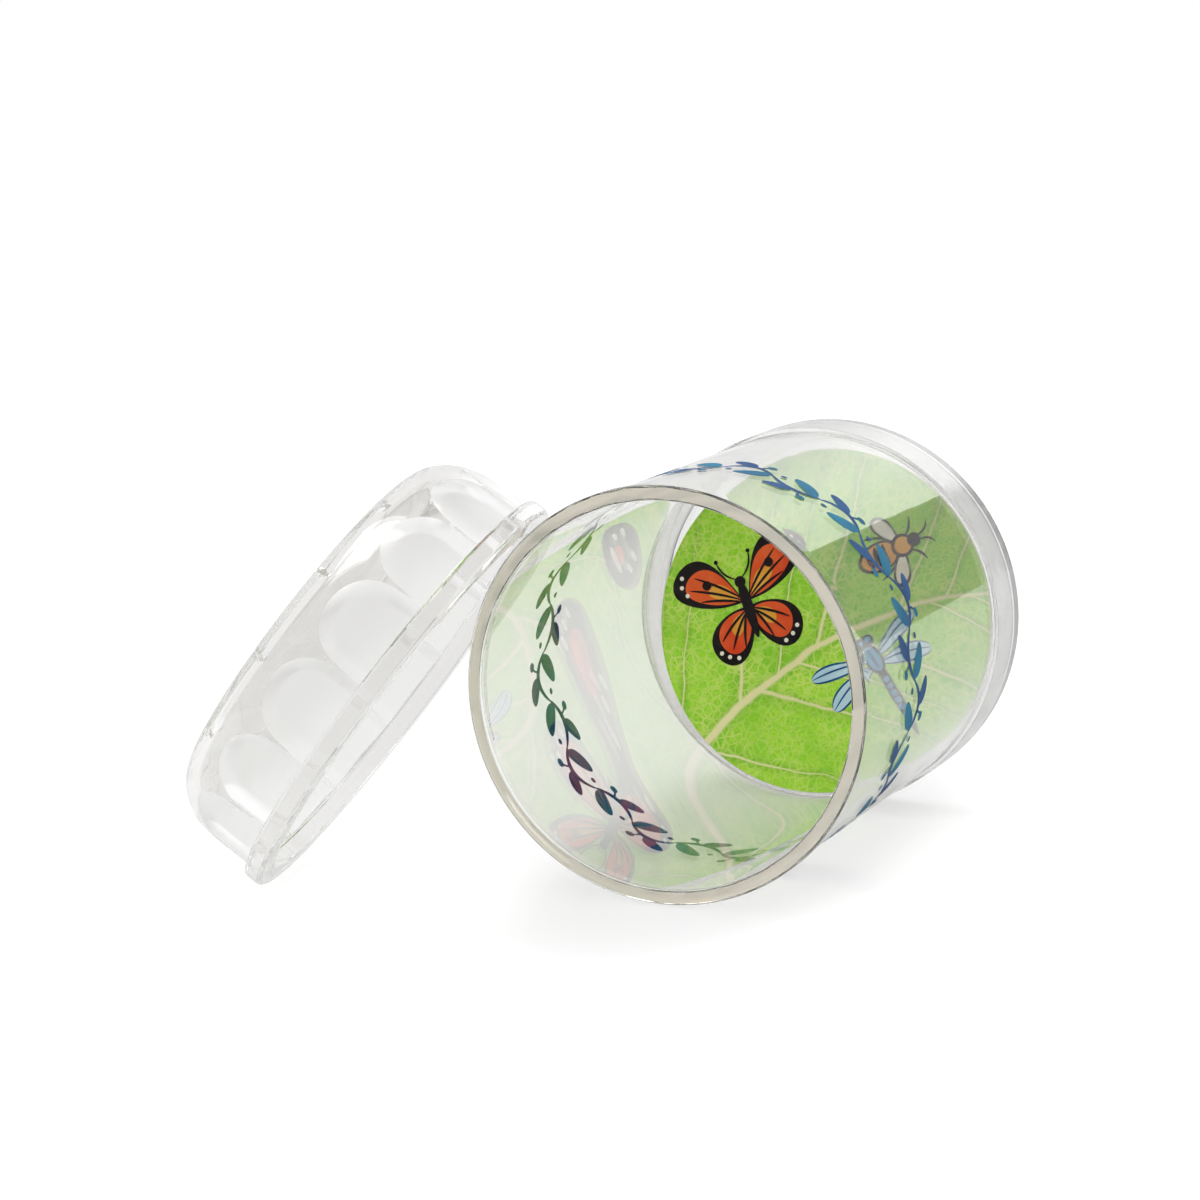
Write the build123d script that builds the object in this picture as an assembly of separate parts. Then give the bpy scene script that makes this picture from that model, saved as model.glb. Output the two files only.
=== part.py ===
from build123d import *
import os
from math import cos, radians, sin, sqrt

# Bug catcher jar, lying on its side with its lid off and leaning against it.
# Millimetres, +Z up, resting on Z = 0. The jar's axis runs along Y, and its mouth faces -Y.

# Jar body: a clear tube with a thicker lip at the mouth
jar_length = 91.5
bore_radius = 33.4
body_wall = 1.9
lip_wall = 2.6
lip_length = 3.0
rim_rounding = 0.5

# Base cap: a clear cup bonded over a thinner spigot at the tube's lower end
cap_height = 13.8
spigot_wall = 1.0
bond_gap = 0.05
seam_gap = 0.15
floor_thickness = 2.0
foot_recess = 0.9
foot_width = 4.6
foot_rounding = 0.6

# Picture disc: a loose printed card that leans against the floor of the lying jar
disc_play = 1.4
disc_thickness = 0.8
disc_lean = 11.0
loose_gap = 0.3

# Lid: a shallow clear cap with a wide rim, finger scallops and air slots
lid_clearance = 0.4
lid_height = 22.0
flange_width = 4.2
flange_height = 3.6
flange_rounding = 0.9
wall_step = 1.0
wall_taper = 0.2
shoulder_height = 8.5
crown_width = 8.4
crown_thickness = 2.7
scallop_count = 15
scallop_radius = 45.0
scallop_depth = 1.7
scallop_wall = 2.3
scallop_phase = 9.0
slot_count = 12
slot_width = 1.0
slot_length = 3.2
slot_inset = 0.6
slot_phase = 3.0

# The leaning lid: its tilt from lying flat, its turn about the vertical and its gap to the lip
lid_lean = 54.4
lid_turn = 9.5
lean_gap = 0.25

# Sizes that follow from the ones above
body_radius = bore_radius + body_wall
lip_radius = bore_radius + lip_wall
foot_radius = lip_radius
spigot_radius = bore_radius + spigot_wall
floor_level = foot_recess + floor_thickness
shoulder_level = cap_height + seam_gap
disc_radius = bore_radius - disc_play
socket_radius = lip_radius + lid_clearance
flange_radius = socket_radius + flange_width
wall_radius = flange_radius - wall_step
shoulder_radius = wall_radius - wall_taper
crown_radius = shoulder_radius - crown_width
crown_depth = lid_height - crown_thickness


def turned(*corners):
    """Solid turned about Z from (radius, level, rounding) corners of its section."""
    outline = FilletPolyline(
        *[(radius, 0, level) for radius, level, _ in corners],
        radius=[rounding for _, _, rounding in corners],
        close=True,
    )
    return revolve(make_face(outline), Axis.Z)


def domed(rim_radius, rim_level, neck_radius, top_level):
    """Solid of revolution about Z: a drum whose wall rounds over into a flat crown."""
    side = Polyline(
        (crown_radius, 0, top_level),
        (0, 0, top_level),
        (0, 0, rim_level),
        (rim_radius, 0, rim_level),
        (neck_radius, 0, shoulder_height),
    )
    arc = Plane.XZ * EllipticalCenterArc(
        (crown_radius, shoulder_height),
        neck_radius - crown_radius,
        top_level - shoulder_height,
        arc_size=90,
    )
    return revolve(make_face(side + arc), Axis.Z)


def flutes(radius):
    """Cylinders beside the lid's wall that hollow its scallops out, one for each scallop."""
    floor_radius = wall_radius - scallop_depth
    tool = Cylinder(radius, lid_height, align=(Align.CENTER, Align.CENTER, Align.MIN))
    spot = Pos(floor_radius + scallop_radius, 0, flange_height)
    return [
        Rot(0, 0, scallop_phase + 360 / scallop_count * index) * spot * tool
        for index in range(scallop_count)
    ]


def make_jar_body():
    """Tube, open at both ends, standing on its spigot."""
    return turned(
        (bore_radius, floor_level, 0),
        (spigot_radius, floor_level, 0),
        (spigot_radius, shoulder_level, 0),
        (body_radius, shoulder_level, 0),
        (body_radius, jar_length - lip_length - (lip_radius - body_radius), 0),
        (lip_radius, jar_length - lip_length, 0),
        (lip_radius, jar_length, rim_rounding),
        (bore_radius, jar_length, rim_rounding),
    )


def make_base_cap():
    """Cup with a raised floor, whose foot ring is as wide as the lip, so that the jar lies level."""
    socket = spigot_radius + bond_gap
    return turned(
        (0, foot_recess, 0),
        (foot_radius - foot_width, foot_recess, 0),
        (foot_radius - foot_width, 0, 0),
        (foot_radius, 0, foot_rounding),
        (foot_radius, cap_height, 0),
        (socket, cap_height, 0),
        (socket, floor_level, 0),
        (0, floor_level, 0),
    )


def make_picture_disc():
    """Card disc whose printed face looks along +Z."""
    return Cylinder(disc_radius, disc_thickness)


def make_lid():
    """Lid with its mouth at Z = 0 and its crown up."""
    shell = turned(
        (0, 0, 0),
        (flange_radius, 0, flange_rounding),
        (flange_radius, flange_height, flange_rounding),
        (0, flange_height, 0),
    )
    shell += domed(wall_radius, flange_height, shoulder_radius, lid_height)
    shell -= flutes(scallop_radius)
    hollow = domed(socket_radius, 0, socket_radius, crown_depth)
    hollow -= flutes(scallop_radius + scallop_wall)
    slot_radius = crown_radius - slot_inset + slot_length / 2
    slot = Pos(slot_radius, 0, lid_height) * Box(slot_length, slot_width, 2 * crown_thickness)
    slots = [Rot(0, 0, slot_phase + 360 / slot_count * index) * slot for index in range(slot_count)]
    return shell - hollow - slots


def lying_jar():
    """Plane of the lying jar: its origin is the foot's centre, and its Z runs to the mouth."""
    return Plane(origin=(0, jar_length, lip_radius), x_dir=(1, 0, 0), z_dir=(0, -1, 0))


def leaning_disc():
    """Place of the card in the jar's plane, where +Y is up while the jar lies on its side."""
    half = disc_thickness / 2
    lean = radians(disc_lean)
    drop = bore_radius - loose_gap - disc_radius * cos(lean) - half * sin(lean)
    rise = floor_level + loose_gap + disc_radius * sin(lean) + half * cos(lean)
    return Pos(0, -drop, rise) * Rot(-disc_lean, 0, 0)


def leaning_lid():
    """Plane of the lid: its flange stands on Z = 0, and its highest point leans on the lip."""
    lean = radians(lid_lean)
    turn = radians(lid_turn)
    crown_way = Vector(-sin(lean) * cos(turn), -sin(lean) * sin(turn), cos(lean))
    rim_way = Vector(cos(lean) * cos(turn), cos(lean) * sin(turn), sin(lean))
    height = (flange_radius - flange_rounding) * sin(lean) + flange_rounding * (1 - cos(lean))
    touch = socket_radius * rim_way
    reach = lip_radius + lean_gap
    beside = sqrt(reach**2 - (height + touch.Z - lip_radius) ** 2)
    centre = (-touch.X - beside, -touch.Y, height)
    return Plane(origin=centre, x_dir=rim_way, z_dir=crown_way)


pieces = {
    "jar_body": lying_jar() * make_jar_body(),
    "base_cap": lying_jar() * make_base_cap(),
    "picture_disc": lying_jar() * leaning_disc() * make_picture_disc(),
    "lid": leaning_lid() * make_lid(),
}

# The origin is under the middle of the whole, on the surface that it lies on
boxes = [piece.bounding_box() for piece in pieces.values()]
middle_x = (min(box.min.X for box in boxes) + max(box.max.X for box in boxes)) / 2
middle_y = (min(box.min.Y for box in boxes) + max(box.max.Y for box in boxes)) / 2
to_origin = Pos(-middle_x, -middle_y, 0)

os.makedirs("parts", exist_ok=True)
for name, piece in pieces.items():
    export_step(to_origin * piece, f"parts/{name}.step")
print(f"jar axis at x {-middle_x:.4f}, mouth at y {-middle_y:.4f}")
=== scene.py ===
"""Looks of a clear bug jar that lies on its side, with its lid off and leaning against it.

Sizes are in metres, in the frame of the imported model: +Z is up, the jar's axis runs along Y, and its mouth
faces -Y. Each class is one sub-assembly, one finish or the studio round them.
"""

import logging
from collections.abc import Sequence
from dataclasses import dataclass
from enum import Enum
from math import atan2, cos, log as ln, pi, radians, sin, sqrt, tan

import bpy
from bpy.types import Material, MeshPolygon, Node, NodeSocket, NodeTree, Object
from mathutils import Matrix, Vector


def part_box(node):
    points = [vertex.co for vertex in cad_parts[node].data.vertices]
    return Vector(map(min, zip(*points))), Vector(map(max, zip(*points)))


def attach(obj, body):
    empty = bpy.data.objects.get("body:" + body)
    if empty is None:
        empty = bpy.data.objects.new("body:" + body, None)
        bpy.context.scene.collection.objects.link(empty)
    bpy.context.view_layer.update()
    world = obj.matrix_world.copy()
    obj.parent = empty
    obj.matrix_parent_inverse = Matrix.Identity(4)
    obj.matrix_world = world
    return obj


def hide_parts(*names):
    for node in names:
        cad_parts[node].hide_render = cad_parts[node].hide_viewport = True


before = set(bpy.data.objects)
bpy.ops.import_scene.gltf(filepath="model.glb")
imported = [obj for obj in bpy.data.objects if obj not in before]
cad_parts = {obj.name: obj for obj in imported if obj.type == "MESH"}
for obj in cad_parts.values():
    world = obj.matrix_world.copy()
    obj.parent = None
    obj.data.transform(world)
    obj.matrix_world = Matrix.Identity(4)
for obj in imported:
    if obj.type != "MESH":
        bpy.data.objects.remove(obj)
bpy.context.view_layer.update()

MM = 0.001
TURN_STEPS = 256
ARC_STEPS = 6
DOME_STEPS = 24
CREASE_ANGLE = radians(14)
WELD_DISTANCE = 0.0005 * MM
STROKE_STEPS = 24
STROKE_ROWS = 4
INK_LAYER = 0.012 * MM

# Part of a noise's range over which one colour turns to another
PATCH_START = 0.35
PATCH_END = 0.65

# Layers of ever finer detail in a noise
SMOOTH_DETAIL = 1.0
SOFT_DETAIL = 3.0
ROUGH_DETAIL = 4.0
FINE_DETAIL = 6.0

# Sockets of a Mix node that blends colours
MIX_SHARE = 0
MIX_UNDER = 6
MIX_OVER = 7
MIX_RESULT = 2

log = logging.getLogger("bug_jar")


class Body(Enum):
    """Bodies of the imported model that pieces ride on."""

    JAR = "jar"
    CARD = "picture_disc"
    LID = "lid"


class Slot(Enum):
    """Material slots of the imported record."""

    PLASTIC = "clear_plastic"
    CARD = "printed_card"


def linear(code: str) -> tuple[float, float, float, float]:
    """Turn an sRGB hex colour to linear light.

    Args:
        code: colour as "#rrggbb".
    Returns:
        Red, green, blue and an alpha of 1.
    """
    values = [int(code[start:start + 2], 16) / 255 for start in (1, 3, 5)]
    return (*[v / 12.92 if v <= 0.04045 else ((v + 0.055) / 1.055) ** 2.4 for v in values], 1.0)


def add_node(tree: NodeTree, kind: str, inputs: dict[str | int, object] | None = None,
             **settings: object) -> Node:
    """Add one node, set its properties, and fill or link its inputs.

    Args:
        tree: node tree that takes the node.
        kind: Blender's name of the node type, without its ShaderNode prefix.
        inputs: input name or index, to a value or to the output that feeds it.
        settings: properties of the node itself.
    Returns:
        The new node.
    """
    node = tree.nodes.new("ShaderNode" + kind)
    for name, value in settings.items():
        setattr(node, name, value)
    for key, value in (inputs or {}).items():
        if isinstance(value, NodeSocket):
            tree.links.new(value, node.inputs[key])
        else:
            node.inputs[key].default_value = value
    return node


def take(*pieces: Object) -> None:
    """Select these pieces alone, with the first one active."""
    bpy.ops.object.select_all(action="DESELECT")
    for piece in pieces:
        piece.select_set(True)
    bpy.context.view_layer.objects.active = pieces[0]


def settle(piece: Object, place: Matrix) -> None:
    """Put a finished mesh in its place, and leave its object at the origin.

    Args:
        piece: mesh modelled about its own origin.
        place: the piece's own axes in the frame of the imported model.
    """
    piece.matrix_world = place
    take(piece)
    bpy.ops.object.transform_apply(location=True, rotation=True, scale=True)


def apply_modifier(piece: Object, kind: str, **settings: object) -> None:
    """Give a piece one modifier and apply it.

    Args:
        piece: object to change.
        kind: Blender's name of the modifier type.
        settings: properties of the modifier.
    """
    modifier = piece.modifiers.new(kind.lower(), kind)
    for name, value in settings.items():
        setattr(modifier, name, value)
    take(piece)
    bpy.ops.object.modifier_apply(modifier=modifier.name)


def smooth(piece: Object) -> None:
    """Shade a piece smooth, with its creases sharp and its long walls free of the roundings' shading."""
    take(piece)
    bpy.ops.object.shade_smooth_by_angle(angle=CREASE_ANGLE)
    apply_modifier(piece, "WEIGHTED_NORMAL", keep_sharp=True)


def weld(piece: Object) -> None:
    """Merge the points of a mesh that lie on one another."""
    take(piece)
    bpy.ops.object.mode_set(mode="EDIT")
    bpy.ops.mesh.select_all(action="SELECT")
    bpy.ops.mesh.remove_doubles(threshold=WELD_DISTANCE)
    bpy.ops.object.mode_set(mode="OBJECT")


def cut(piece: Object, tools: Sequence[Object]) -> None:
    """Take the solids of some tools away from a piece, and throw the tools away.

    Args:
        piece: closed mesh to cut.
        tools: closed meshes that are cut away one after another.
    """
    for tool in tools:
        apply_modifier(piece, "BOOLEAN", operation="DIFFERENCE", solver="MANIFOLD", object=tool)
        bpy.data.objects.remove(tool)
    weld(piece)


@dataclass(frozen=True)
class Corner:
    """Corner of a turned piece's outline: distance from the axis, level along it and rounding."""

    radius: float
    level: float
    rounding: float = 0.0

    def spot(self) -> Vector:
        """Place of the corner in the plane of the outline."""
        return Vector((self.radius, 0, self.level))


def trace(corners: Sequence[Corner]) -> list[Vector]:
    """Follow an outline through its corners, with an arc at each rounded one.

    Args:
        corners: the outline's corners in order.
    Returns:
        Points of the outline.
    """
    points = []
    for index, corner in enumerate(corners):
        here = corner.spot()
        if not corner.rounding:
            points.append(here)
            continue
        back = (corners[index - 1].spot() - here).normalized()
        ahead = (corners[(index + 1) % len(corners)].spot() - here).normalized()
        half = back.angle(ahead) / 2
        centre = here + (back + ahead).normalized() * corner.rounding / sin(half)
        start = here + back * corner.rounding / tan(half) - centre
        end = here + ahead * corner.rounding / tan(half) - centre
        points += [centre + start.slerp(end, step / ARC_STEPS).normalized() * corner.rounding
                   for step in range(ARC_STEPS + 1)]
    return points


def around(reach: float, angle: float, level: float = 0.0) -> Vector:
    """Find a place beside the Z axis.

    Args:
        reach: distance from the axis.
        angle: angle round it, from X.
        level: height along it.
    Returns:
        The place.
    """
    return Vector((reach * cos(angle), reach * sin(angle), level))


def turn(name: str, points: Sequence[Vector], closed: bool) -> Object:
    """Turn an outline about Z into a closed mesh, as on a lathe.

    Args:
        name: name of the new object.
        points: outline in the XZ plane.
        closed: whether the outline runs back to its start, or else ends on the axis.
    Returns:
        The turned object.
    """
    bpy.ops.object.select_all(action="DESELECT")
    bpy.ops.mesh.primitive_plane_add(size=MM, location=(0, 0, 0))
    piece = bpy.context.object
    piece.name = name
    bpy.ops.object.mode_set(mode="EDIT")
    bpy.ops.mesh.merge(type="CENTER")
    bpy.ops.transform.translate(value=points[0])
    route = [*points, points[0]] if closed else list(points)
    for here, there in zip(route, route[1:]):
        bpy.ops.mesh.extrude_vertices_move(TRANSFORM_OT_translate={"value": there - here})
    bpy.ops.mesh.select_all(action="SELECT")
    bpy.ops.mesh.remove_doubles(threshold=WELD_DISTANCE)
    bpy.ops.mesh.spin(steps=TURN_STEPS, angle=2 * pi, center=(0, 0, 0), axis=(0, 0, 1))
    bpy.ops.mesh.select_all(action="SELECT")
    bpy.ops.mesh.remove_doubles(threshold=WELD_DISTANCE)
    bpy.ops.mesh.normals_make_consistent(inside=False)
    bpy.ops.object.mode_set(mode="OBJECT")
    return piece


@dataclass(frozen=True)
class Finish:
    """What all finishes share: a name and a material with an empty node tree."""

    name: str

    def start(self) -> Material:
        """Make the material, with its nodes cleared."""
        material = bpy.data.materials.new(self.name)
        material.use_nodes = True
        material.node_tree.nodes.clear()
        return material


@dataclass(frozen=True)
class ClearPlastic(Finish):
    """Clear polystyrene, injection-moulded in a polished mould.

    It is glossy and nearly colourless, with the faint waves of a moulded wall, fine scuffs, and a warm tint
    where light has run a long way inside it, as at the rims.
    """

    tint: str = "#fdfefe"
    clearness: float = 1.0
    deep_tint: str = "#d9c9a8"
    deep_density: float = 3.0
    ior: float = 1.56
    polish: float = 0.01
    scuff: float = 0.05
    scuff_size: float = 2.5 * MM
    scuff_start: float = 0.45
    scuff_end: float = 0.8
    wave_size: float = 16 * MM
    wave_height: float = 0.02 * MM

    def material(self) -> Material:
        """Build the plastic's nodes."""
        material = self.start()
        tree = material.node_tree
        place = add_node(tree, "TexCoord").outputs["Object"]
        scuffs = add_node(tree, "TexNoise", {
            "Vector": place, "Scale": 1 / self.scuff_size, "Detail": FINE_DETAIL})
        dull = add_node(tree, "MapRange", {
            "Value": scuffs.outputs["Fac"], "From Min": self.scuff_start, "From Max": self.scuff_end,
            "To Min": self.polish, "To Max": self.scuff})
        waves = add_node(tree, "TexNoise", {
            "Vector": place, "Scale": 1 / self.wave_size, "Detail": SMOOTH_DETAIL})
        wavy = add_node(tree, "Bump", {"Height": waves.outputs["Fac"], "Distance": self.wave_height})
        surface = add_node(tree, "BsdfPrincipled", {
            "Base Color": linear(self.tint), "Roughness": dull.outputs["Result"], "IOR": self.ior,
            "Transmission Weight": self.clearness, "Normal": wavy.outputs["Normal"]})
        inside = add_node(tree, "VolumeAbsorption", {
            "Color": linear(self.deep_tint), "Density": self.deep_density})
        add_node(tree, "OutputMaterial", {
            "Surface": surface.outputs["BSDF"], "Volume": inside.outputs["Volume"]})
        return material


# The tube is clear, tinted a breath of grey: painted shade for the light that its two polished faces turn
# away
TUBE_PLASTIC = ClearPlastic("polystyrene_tube_moulded", tint="#efefec")

# The mouth's edge is trimmed and dull; its pale warm face is painted light, for the light that runs along the
# wall and out at the rim
RIM_PLASTIC = ClearPlastic(
    "polystyrene_rim_trimmed_painted_light", tint="#fffaea", clearness=0.3, polish=0.06, scuff=0.2)

# The base was moulded thicker, and looks a little hazy
BASE_PLASTIC = ClearPlastic(
    "polystyrene_base_moulded", tint="#fefefe", clearness=0.82, polish=0.12, scuff=0.25)

# The lid is of a cleaner plastic; its outer face is tinted a little grey, a painted shade that greys the
# lid's look
LID_PLASTIC = ClearPlastic(
    "polystyrene_lid_moulded", tint="#efeeec", deep_tint="#e4e3e1", deep_density=1.0)

# The lid's inside was moulded on a polished core, and is clearer
CORE_PLASTIC = ClearPlastic(
    "polystyrene_lid_polished", tint="#fdfdfc", deep_tint="#e4e3e1", deep_density=1.0)

# The scallops come from an etched part of the mould, and look frosted
GRIP_PLASTIC = ClearPlastic(
    "polystyrene_grip_frosted", tint="#ffffff", deep_tint="#f0f0f0", deep_density=1.0,
    polish=0.28, scuff=0.36)


@dataclass(frozen=True)
class Ink(Finish):
    """Printing ink: a dense satin colour that is a little uneven where it was laid down."""

    dark: str
    light: str
    patch_size: float = 9 * MM
    roughness: float = 0.55
    gloss: float = 0.15

    def material(self) -> Material:
        """Build the ink's nodes."""
        material = self.start()
        tree = material.node_tree
        place = add_node(tree, "TexCoord").outputs["Object"]
        patches = add_node(tree, "TexNoise", {
            "Vector": place, "Scale": 1 / self.patch_size, "Detail": SOFT_DETAIL})
        share = add_node(tree, "MapRange", {
            "Value": patches.outputs["Fac"], "From Min": PATCH_START, "From Max": PATCH_END})
        colour = add_node(tree, "Mix", {
            MIX_SHARE: share.outputs["Result"], MIX_UNDER: linear(self.dark), MIX_OVER: linear(self.light)},
            data_type="RGBA")
        surface = add_node(tree, "BsdfPrincipled", {
            "Base Color": colour.outputs[MIX_RESULT], "Roughness": self.roughness,
            "Specular IOR Level": self.gloss})
        add_node(tree, "OutputMaterial", {"Surface": surface.outputs["BSDF"]})
        return material


class Tone(Enum):
    """Inks of the prints, each with the dark and the light of its colour."""

    NAVY = ("#123f72", "#1e5a90")
    TEAL = ("#0e5c82", "#187c9c")
    BLACK = ("#0f0c0d", "#1f191a")
    VERMILION = ("#e0471f", "#f06a34")
    AMBER = ("#e79a2c", "#f3b44a")
    AZURE = ("#2f86b4", "#52abd0")
    SKY = ("#a9d5e6", "#c9e7f0")
    CREAM = ("#f3ecd2", "#fbf7e6")

    def material(self) -> Material:
        """Ink of this tone, made when it is first asked for."""
        ink = Ink(f"{self.name.lower()}_printing_ink", *self.value)
        return bpy.data.materials.get(ink.name) or ink.material()


@dataclass(frozen=True)
class Stroke:
    """Stroke of a print, which swells from a point to its width and back. Sizes are in millimetres.

    A straight stroke is an oval, and one as long as it is wide is a round spot.
    """

    tone: Tone
    start: tuple[float, float]
    end: tuple[float, float]
    width: float
    bow: float = 0.0
    belly: float = 0.5
    paired: bool = False
    blunt: float = 0.0

    def draw(self, level: float) -> Object:
        """Draw the stroke flat, and its mirror image across Y if it is one of a pair.

        Args:
            level: height of the sheet.
        Returns:
            The stroke as a sheet of ink.
        """
        bpy.ops.object.select_all(action="DESELECT")
        bpy.ops.mesh.primitive_grid_add(x_subdivisions=STROKE_STEPS, y_subdivisions=STROKE_ROWS, size=1)
        sheet = bpy.context.object
        start = Vector(self.start)
        along = Vector(self.end) - start
        beside = Vector((-along.y, along.x)).normalized()
        lag = ln(self.belly) / ln(0.5)
        for vertex in sheet.data.vertices:
            angle = pi * min(max(vertex.co.x + 0.5, 0.0), 1.0)
            share = (1 - cos(angle)) / 2
            swell = self.blunt + (1 - self.blunt) * sin(angle)
            out = self.bow * sin(angle) ** 2 + self.width * swell * vertex.co.y
            there = (start + along * share**lag + beside * out) * MM
            vertex.co = (there.x, there.y, level)
        weld(sheet)
        if self.paired:
            apply_modifier(sheet, "MIRROR", use_mirror_merge=False)
        sheet.data.materials.append(self.tone.material())
        return sheet


def spot(tone: Tone, x: float, y: float, radius: float, paired: bool = False) -> Stroke:
    """Round spot of a print.

    Args:
        tone: its ink.
        x: place of its centre across the figure, in millimetres.
        y: place of its centre along the figure.
        radius: its radius.
        paired: whether it is one of a pair.
    Returns:
        The spot as a stroke.
    """
    return Stroke(tone, (x - radius, y), (x + radius, y), 2 * radius, paired=paired)


@dataclass(frozen=True)
class Figure:
    """Printed figure: strokes laid over one another in thin ink, with the head of an insect along +Y."""

    name: str
    strokes: tuple[Stroke, ...]

    def draw(self) -> Object:
        """Draw the figure flat, each stroke a layer above the one before."""
        sheets = [stroke.draw(INK_LAYER * order) for order, stroke in enumerate(self.strokes, 1)]
        take(*sheets)
        bpy.ops.object.join()
        figure = bpy.context.object
        figure.name = self.name
        apply_modifier(figure, "SOLIDIFY", thickness=INK_LAYER / 2, offset=1.0)
        return figure


def butterfly() -> Figure:
    """Orange butterfly with dark edges, veins and pale spots."""
    veins = [((0.8, 1.2), (10.2, 6.4)), ((0.8, 1.6), (8.6, 8.4)), ((0.8, 0.8), (8.8, 3.6)),
             ((0.6, -0.8), (7.2, -5.0)), ((0.6, -1.0), (5.6, -7.2)), ((0.6, -0.9), (3.0, -7.6))]
    edge_spots = [(10.9, 9.2), (11.5, 7.5), (10.9, 5.7), (8.0, -7.0), (6.7, -8.2), (5.0, -9.0)]
    return Figure("butterfly_print", (
        Stroke(Tone.BLACK, (0.5, -0.4), (7.6, -9.4), 8.2, 0.6, 0.6, True),
        Stroke(Tone.BLACK, (0.5, 0.8), (12.8, 9.0), 8.8, 0.9, 0.68, True),
        Stroke(Tone.VERMILION, (0.9, -0.9), (6.3, -7.6), 6.2, 0.5, 0.58, True),
        Stroke(Tone.VERMILION, (1.0, 1.3), (10.6, 7.7), 6.4, 0.7, 0.66, True),
        Stroke(Tone.AMBER, (1.2, -1.2), (4.2, -4.8), 2.6, 0.3, 0.6, True),
        Stroke(Tone.AMBER, (1.4, 1.6), (6.6, 5.0), 2.8, 0.4, 0.66, True),
        *[Stroke(Tone.BLACK, start, end, 0.5, 0.3, paired=True) for start, end in veins],
        spot(Tone.BLACK, 6.6, 6.2, 0.9, True),
        *[spot(Tone.CREAM, x, y, 0.42, True) for x, y in edge_spots],
        Stroke(Tone.BLACK, (0.4, 5.2), (3.4, 9.8), 0.4, -0.8, paired=True),
        spot(Tone.BLACK, 3.4, 9.7, 0.4, True),
        Stroke(Tone.BLACK, (0, 4.2), (0, -6.6), 2.1, belly=0.36),
        spot(Tone.BLACK, 0, 4.6, 1.1),
    ))


def dragonfly() -> Figure:
    """Blue dragonfly with four clear wings and a banded tail."""
    wings = [((0.5, 3.2), (11.2, 6.2), 3.2), ((0.5, 2.0), (10.6, -1.0), 3.6)]
    tail = [-1.4 - 1.5 * joint for joint in range(7)]
    return Figure("dragonfly_print", (
        *[Stroke(Tone.NAVY, start, end, width, 0.3, 0.64, True) for start, end, width in wings],
        *[Stroke(Tone.SKY, start, end, width - 0.8, 0.3, 0.64, True) for start, end, width in wings],
        *[Stroke(Tone.NAVY, start, end, 0.35, 0.5, paired=True) for start, end, _ in wings],
        Stroke(Tone.BLACK, (0, 1.0), (0, -13.6), 2.0, belly=0.3),
        *[spot(Tone.AZURE, 0, y, 0.62) for y in tail],
        Stroke(Tone.BLACK, (0, 6.2), (0, 0.0), 3.4),
        Stroke(Tone.AZURE, (0, 5.6), (0, 0.6), 2.4),
        Stroke(Tone.NAVY, (0, 5.4), (0, 1.0), 0.6),
        spot(Tone.BLACK, 0.9, 6.6, 1.15, True),
        spot(Tone.AZURE, 1.0, 6.8, 0.5, True),
    ))


def bee() -> Figure:
    """Amber bee with dark stripes, pale wings and six legs."""
    legs = [((1.2, 2.6), (4.4, 5.2)), ((1.4, 1.6), (5.0, 0.2)), ((1.2, 0.8), (4.2, -4.6))]
    stripes = [(-1.7, 2.0), (-3.3, 2.1), (-4.9, 1.6)]
    return Figure("bee_print", (
        *[Stroke(Tone.BLACK, start, end, 0.5, 0.5, paired=True) for start, end in legs],
        Stroke(Tone.BLACK, (0, 0.6), (0, -7.6), 5.6, belly=0.44),
        Stroke(Tone.AMBER, (0, 0.2), (0, -6.9), 4.7, belly=0.44),
        *[Stroke(Tone.BLACK, (-half, y), (half, y), 0.95, -0.35) for y, half in stripes],
        Stroke(Tone.BLACK, (0.6, 1.6), (6.8, -1.8), 3.4, 0.2, 0.66, True),
        Stroke(Tone.CREAM, (1.0, 1.4), (6.2, -1.5), 2.5, 0.2, 0.66, True),
        spot(Tone.BLACK, 0, 1.8, 2.2),
        spot(Tone.AMBER, 0, 1.9, 1.6),
        spot(Tone.BLACK, 0, 4.3, 1.3),
        Stroke(Tone.BLACK, (0.5, 5.0), (2.2, 8.0), 0.4, 0.6, paired=True),
    ))


@dataclass(frozen=True)
class Vein:
    """How wide one kind of vein is, in millimetres or as a share of a cell, and how strongly it shows."""

    width: float
    strength: float


@dataclass(frozen=True)
class Mottle:
    """Patches of one size in millimetres: the part of the noise that they take up, and their strength."""

    size: float
    start: float = PATCH_START
    end: float = PATCH_END
    least: float = 0.0
    most: float = 1.0


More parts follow.
